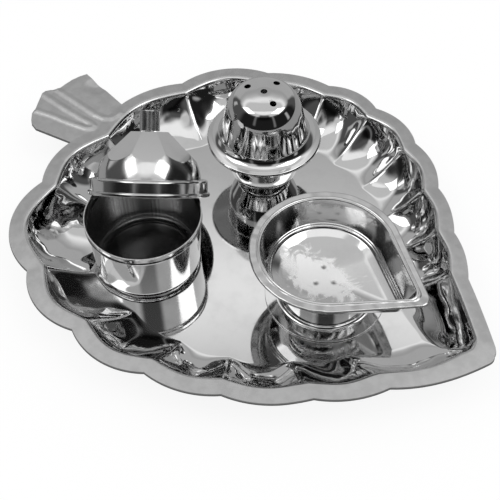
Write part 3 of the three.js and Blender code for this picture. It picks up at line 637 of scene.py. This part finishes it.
for k in range(1, STEM_ROWS + 1):
    rows.append(grow(rows[-1], lambda spoke: stem_point(spoke, k / STEM_ROWS), 1))
stem_verts = {vert for row in rows for edge in row for vert in edge.verts}
near_stem = {vert for vert in bm.verts if vert.co.x < -88 * MM and abs(vert.co.y) < 26 * MM}
for vert in stem_verts | near_stem:
    if vert.co.z < (RIM_HEIGHT - RIM_FALL) * MM:
        continue
    spot = Vector((vert.co.x, vert.co.y)) / MM
    off = min(distance_to(rib, spot) for rib in RIBS) / RIB_HALF_WIDTH
    if off < 1:
        vert.co.z += RIB_HEIGHT * MM * (1 - off ** 2) ** 2
    off = (spot - Vector(DENT)).length / 7
    if off < 1:
        vert.co.z -= 1.2 * MM * (1 - off ** 2) ** 2
print("stem:", len(stem_verts), "vertices")

# %% [markdown]
# The free edge, round the rim and the stem, is turned down to stiffen it and to keep it from cutting
# the hand. It is one more extrusion: down, and a little outwards.

# %% Turn the edge down
bmesh.ops.recalc_face_normals(bm, faces=bm.faces)
if next(face for face in bm.faces if len(face.verts) > 4).normal.z < 0:
    bmesh.ops.reverse_faces(bm, faces=bm.faces)
free = [edge for edge in bm.edges if edge.is_boundary]
turned_down = bmesh.ops.extrude_edge_only(bm, edges=free)["geom"]
lower = [vert for vert in turned_down if isinstance(vert, bmesh.types.BMVert)]
moves = {}
for vert in lower:
    upper = next(edge.other_vert(vert) for edge in vert.link_edges if edge.other_vert(vert) not in lower)
    sides = [edge.other_vert(vert).co for edge in vert.link_edges if edge.other_vert(vert) != upper]
    run = (sides[0] - sides[1]).normalized()
    outwards = Vector((run.y, -run.x, 0))
    inner = sum((face.calc_center_median() for face in upper.link_faces if vert not in face.verts), Vector())
    count = sum(vert not in face.verts for face in upper.link_faces)
    if (upper.co - inner / max(count, 1)).dot(outwards) < 0:
        outwards.negate()
    moves[vert] = outwards * RIM_EDGE * EDGE_LEAN * MM - Vector((0, 0, RIM_EDGE * MM))
for vert, move in moves.items():
    vert.co += move
    # Satin 2 paints shade on the turned-down edge and darkens the tray's outline.
    vert[satin] = 2

tray_steel = steel_finish("tray_mirror", MIRROR_TONE, (0.03, 0.1), 0.012)
tray = make_piece(bm, "tray_pressing", "plate", "tray", tray_steel, wall=TRAY_SHEET, edge=0.15)

# %% [markdown]
# The kumkum cup is spun and then brushed: fine grooves run round it, inside and out. A step under the
# rim leaves a band that the lid's skirt slides over.

# %% Cup
CUP_RADIUS = 26
CUP_HEIGHT = 29.5
VESSEL_SHEET = 0.5
cup_place = standing("cup_body")
# The cup's inside is darkened with painted shade and painted reflection streaks.
cup_steel = steel_finish("cup_brushed", 0.62, (0.08, 0.16), 0.006, rings=0.0016, ring_size=0.3, inner_shade_tone=0.46,
                         place=cup_place)
cup = spin(section([
    (0, 0.5, 0), (18.6, 0.5, 0.6), (20.4, 0, 0.6), (24, 0, 3.5), (25.2, 25.1, 0.3), (25.9, 25.5, 0.3),
    (26.1, 26.2, 0.3), (25.6, 26.8, 0.3), (25.7, 28.5, 0.3), (26, 29, 0.3), (26, CUP_HEIGHT, 0),
]))
make_piece(cup, "cup_shell", "cup", "cup_body", cup_steel, wall=VESSEL_SHEET, place=cup_place)

# %% [markdown]
# The lid was pressed as a dome over a skirt, and then its shoulders were flattened into eight facets.
# The same is done here: the section is spun, and eight slanted planes cut the dome. Each cut is
# filled, which gives the facet. The lid is shown taken off, hooked over the back of the cup.

# %% Lid
REST_GAP = 0.3
LID_CLEARANCE = 0.25
LID_HEIGHT = 28.6
LID_SHOULDER = 7.5
LID_TOP = 8.4
LID_FACETS = 8
FACET_SLOPE = radians(45)
LID_LEAN = radians(44.5)
LID_LEAN_DIRECTION = radians(126.8)
LID_TURN = radians(29.5)
LID_FOOT_RISE = 2.8

skirt = CUP_RADIUS + LID_CLEARANCE + VESSEL_SHEET
bead = skirt + 1
bead_height = bead * sin(LID_LEAN) + LID_FOOT_RISE
inner = skirt - VESSEL_SHEET
up = (CUP_HEIGHT + REST_GAP - bead_height) / (inner * sin(LID_LEAN))
side = inner * sqrt(1 - up ** 2)
back = inner * cos(LID_LEAN) * up + sqrt(CUP_RADIUS ** 2 - side ** 2)
lean_axis = Vector((-sin(LID_LEAN_DIRECTION), cos(LID_LEAN_DIRECTION), 0))
hooked = Matrix.Translation(Vector((back * cos(LID_LEAN_DIRECTION), back * sin(LID_LEAN_DIRECTION), bead_height)) * MM)
lid_place = cup_place @ hooked @ Matrix.Rotation(LID_LEAN, 4, lean_axis)
lid_place = lid_place @ Matrix.Rotation(LID_LEAN_DIRECTION + LID_TURN, 4, "Z")

lid = spin(section([
    (0, LID_HEIGHT, 0), (10.5, LID_HEIGHT, 0), (23.1, LID_HEIGHT - 12.6, 22), (23.7, LID_SHOULDER, 0.5),
    (skirt, LID_SHOULDER, 1.2),
    (skirt, 1.8, 0.2), (bead, 1.8, 0.6), (bead, 0, 0.6), (bead - 0.9, 0, 0),
]))
for k in range(LID_FACETS):
    turn = tau * (k + 0.5) / LID_FACETS
    outwards = Vector((cos(turn) * sin(FACET_SLOPE), sin(turn) * sin(FACET_SLOPE), cos(FACET_SLOPE)))
    on_plane = Vector((cos(turn) * LID_TOP, sin(turn) * LID_TOP, LID_HEIGHT)) * MM
    cut = bmesh.ops.bisect_plane(
        lid, geom=lid.verts[:] + lid.edges[:] + lid.faces[:], plane_co=on_plane, plane_no=outwards, clear_outer=True,
    )["geom_cut"]
    bmesh.ops.edgeloop_fill(lid, edges=[edge for edge in cut if isinstance(edge, bmesh.types.BMEdge)])
bmesh.ops.remove_doubles(lid, verts=lid.verts, dist=0.01 * MM)
bmesh.ops.dissolve_limit(lid, angle_limit=radians(0.4), verts=lid.verts, edges=lid.edges)
bmesh.ops.recalc_face_normals(lid, faces=lid.faces)
lid_steel = steel_finish("lid_mirror", MIRROR_TONE, (0.1, 0.2), 0.02, rings=0.0008, ring_size=0.5, place=lid_place)
make_piece(lid, "lid_pressing", "lid", "lid_shell", lid_steel, wall=VESSEL_SHEET, edge=0.35,
           edge_angle=14, place=lid_place)

# %% [markdown]
# The knob is turned from bar, so its end and side carry the finest rings of the whole set. It is
# held by a screw from inside the lid, which keeps its own solid and only gets a finish.

# %% Knob and screw
KNOB_RADIUS = 4.5
KNOB_HEIGHT = 9.2
KNOB_BORE = 1.6
knob_place = lid_place @ Matrix.Translation((0, 0, (LID_HEIGHT + REST_GAP) * MM))
knob_steel = steel_finish("knob_turned", 0.5, (0.2, 0.4), 0.006, rings=0.003, ring_size=0.3, place=knob_place)
knob = spin(section([
    (0, KNOB_HEIGHT, 0), (KNOB_RADIUS, KNOB_HEIGHT, 0.4), (KNOB_RADIUS, 0, 0.15), (KNOB_BORE, 0, 0),
    (KNOB_BORE, 6, 0), (0, 6, 0),
]), steps=72)
make_piece(knob, "knob_turning", "lid", "lid_knob", knob_steel, edge=0, place=knob_place)
screw_steel = steel_finish("screw_steel", 0.7, (0.2, 0.35), 0.002)
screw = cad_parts["lid_knob_screw"]
screw.data.materials.clear()
screw.data.materials.append(screw_steel)

# %% [markdown]
# The incense stick holder is a small bowl with a flat flange, and a hat-shaped cover that rests on it.
# Four holes in the cover take the sticks. They are drilled with the Boolean modifier after the sheet
# has its thickness, so that their walls show.

# %% Holder bowl
holder_place = standing("holder_bowl")
# The holder bowl's inside is darkened with painted shade, almost to black.
holder_steel = steel_finish("holder_mirror", MIRROR_TONE, (0.04, 0.11), 0.006, rings=0.0006, ring_size=0.6,
                            inner_shade_tone=0.14, place=holder_place)
holder = spin(section([(0, 0, 0), (11.9, 0, 2.5), (16.9, 11, 18), (17.5, 27.5, 1), (25.8, 27.5, 0)]))
make_piece(holder, "holder_bowl_pressing", "holder", "holder_bowl", holder_steel,
           wall=VESSEL_SHEET, place=holder_place)

# %% Holder cover
STICK_HOLE_RADIUS = 1.55
STICK_CIRCLE = 8.5
STICK_DIRECTIONS = (-22.5, 86.5, 190.5)
COVER_HEIGHT = 27.2
low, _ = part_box("holder_cover")
cover_place = holder_place.copy()
cover_place.translation.z = low.z + 0.9 * MM

drill_bm = bmesh.new()
for x, y in [(0, 0)] + [(STICK_CIRCLE * cos(radians(turn)), STICK_CIRCLE * sin(radians(turn))) for turn in STICK_DIRECTIONS]:
    bmesh.ops.create_cone(
        drill_bm, cap_ends=True, segments=32, radius1=STICK_HOLE_RADIUS * MM, radius2=STICK_HOLE_RADIUS * MM, depth=8 * MM,
        matrix=cover_place @ Matrix.Translation((x * MM, y * MM, COVER_HEIGHT * MM)),
    )
drill_mesh = bpy.data.meshes.new("drill")
drill_bm.to_mesh(drill_mesh)
drill_bm.free()
drill = bpy.data.objects.new("drill", drill_mesh)
bpy.context.scene.collection.objects.link(drill)

cover_steel = steel_finish("cover_mirror", MIRROR_TONE, (0.04, 0.11), 0.006, rings=0.0006, ring_size=0.6, place=cover_place)
crown = [(out, COVER_HEIGHT - 0.7 * (out / 9) ** 2, 0) for out in (2.4, 4, 5.6, 7.2)]
cover = spin(section([(0, crown[0][1], 0)] + crown + [
    (9.8, 26.4, 10), (13, 25, 5.5), (16.5, 20.9, 14), (18.6, 12.4, 70), (20.9, 0.8, 5), (26.3, 0.4, 0.6),
    (26.8, -0.2, 0.4), (26.8, -0.9, 0),
]))
bmesh.ops.dissolve_verts(cover, verts=[vert for vert in cover.verts if hypot(vert.co.x, vert.co.y) < 0.1 * MM])
make_piece(cover, "cover_pressing", "cover", "holder_cover", cover_steel,
           wall=VESSEL_SHEET, place=cover_place, holes=drill)
bpy.data.objects.remove(drill)

# %% [markdown]
# The oil lamp has a foot that is a small bowl turned over. Its flange stands on the tray, and the lamp's
# bowl is spot-welded on top of it.

# %% Lamp foot
foot_place = standing("lamp_foot")
foot_steel = steel_finish("foot_mirror", MIRROR_TONE, (0.05, 0.13), 0.006, rings=0.0008, ring_size=0.6, place=foot_place)
foot = spin(section([(0, 17.7, 0), (18.6, 17.7, 7.5), (19.8, 0.5, 2.4), (26.8, 0.5, 0)]))
make_piece(foot, "lamp_foot_pressing", "lamp", "lamp_foot", foot_steel,
           wall=VESSEL_SHEET, place=foot_place)

# %% [markdown]
# The lamp's bowl is drawn out to a lip for the wick. It is grown like the tray, ring by ring, from a
# round seat to its drop-shaped rim. Its section has a fine double bead inside the rim and a step half
# way down the wall. Three small dents in the bottom are the spots where it is welded to the foot.

# %% Lamp bowl
LAMP_RADIUS = 32.3
LAMP_REACH = 50.4
LAMP_LIP_ROUNDING = 4
LIP_STRETCH = 0.18
LAMP_HEIGHT = 36.4
LAMP_DIRECTION = radians(4)
FOOT_SHIFT = Vector((-1.7, 4, 0)) * MM
LAMP_SPOKES = 240
TIP_BUNCHING = 0.6
# Section from the middle out: (radius of the round end, depth under the rim's top, rounding) in mm
LAMP_SECTION = [(k / 2, 18 - 2.1 * (k / 2 / 19.1) ** 2, 0) for k in range(2, 37)] + [
    (19.1, 15.9, 9), (23.2, 14.1, 1.6), (23.5, 13.2, 0.15), (23.9, 13, 0.15),
    (24.1, 12.3, 0.15), (24.5, 12.1, 0.15), (27, 2.6, 2), (27.6, 0.5, 0.4), (28, 0, 0.4), (28.5, 0.35, 0.3),
    (28.9, 0.05, 0.4), (29.5, 0.3, 0.3), (31.8, 0.2, 0.6), (32.3, 0.45, 0.3), (32.4, 1.2, 0),
]
LAMP_FLANGE = 29
CRIMP_HEIGHT = 0.25
CRIMP_SIZE = 3.5
WELD_MARKS = [(46.7, -2.9), (49.4, -12), (55, -7)]
WORN_PATCH = ((48.5, -8.7, 19.5), (19, 11.5, 6))

wire = section([(out, -deep, rounding) for out, deep, rounding in LAMP_SECTION])
lamp_rings = sorted(((vert.co.x, vert.co.z) for vert in wire.verts), key=lambda point: point[0])
wire.free()
lamp_place = foot_place @ Matrix.Translation(-FOOT_SHIFT)
lamp_place = lamp_place @ Matrix.Translation((0, 0, LAMP_HEIGHT * MM)) @ Matrix.Rotation(LAMP_DIRECTION, 4, "Z")


def lamp_turn(spoke):
    turn = tau * spoke / LAMP_SPOKES
    return turn - TIP_BUNCHING * sin(turn)


def lamp_point(spoke, out, up):
    scale = out / (LAMP_RADIUS * MM)
    turn = lamp_turn(spoke)
    lip = LAMP_REACH * scale * (1 + LIP_STRETCH * (1 - scale))
    reach = drop_outline(LAMP_RADIUS * scale, lip, LAMP_LIP_ROUNDING * sqrt(scale), turn) * MM
    return Vector((reach * cos(turn), reach * sin(turn), up))


bm = bmesh.new()
spoke_number = bm.verts.layers.int.new("spoke")
satin = bm.verts.layers.float.new("satin")
middle = bmesh.ops.create_circle(bm, cap_ends=False, segments=LAMP_SPOKES, radius=1)["verts"]
for spoke, vert in enumerate(middle):
    vert[spoke_number] = spoke
SEAT_RINGS = 2
seat_out, seat_up = lamp_rings[0]
for vert in middle:
    vert.co = lamp_point(vert[spoke_number], seat_out / SEAT_RINGS, seat_up)
ring = bm.edges[:]
for k in range(2, SEAT_RINGS + 1):
    ring = grow(ring, lambda spoke: lamp_point(spoke, seat_out * k / SEAT_RINGS, seat_up))
for out, up in lamp_rings[1:]:
    ring = grow(ring, lambda spoke: lamp_point(spoke, out, up), 0.7 if out > LAMP_FLANGE * MM else 0)
bmesh.ops.contextual_create(bm, geom=[edge for edge in bm.edges if edge.is_boundary and edge not in ring])
bmesh.ops.transform(bm, matrix=lamp_place, verts=bm.verts)
for vert in bm.verts:
    for mark in WELD_MARKS:
        off = (Vector((vert.co.x, vert.co.y)) / MM - Vector(mark)).length / 1.5
        if off < 1:
            vert.co.z -= 0.3 * MM * (1 - off ** 2) ** 2
            vert[satin] = 2 * (1 - off)
    if vert[satin] > 0.5 and vert.co.z > lamp_place.translation.z - 0.8 * MM:
        vert.co.z += CRIMP_HEIGHT * MM * noise.noise(vert.co / (CRIMP_SIZE * MM))
bmesh.ops.recalc_face_normals(bm, faces=bm.faces)
if sum(face.normal.z for face in bm.faces) < 0:
    bmesh.ops.reverse_faces(bm, faces=bm.faces)
lamp_steel = steel_finish("lamp_mirror", MIRROR_TONE, (0.05, 0.16), 0.01, worn=WORN_PATCH)
make_piece(bm, "lamp_bowl_pressing", "lamp", "lamp_bowl", lamp_steel, wall=VESSEL_SHEET)
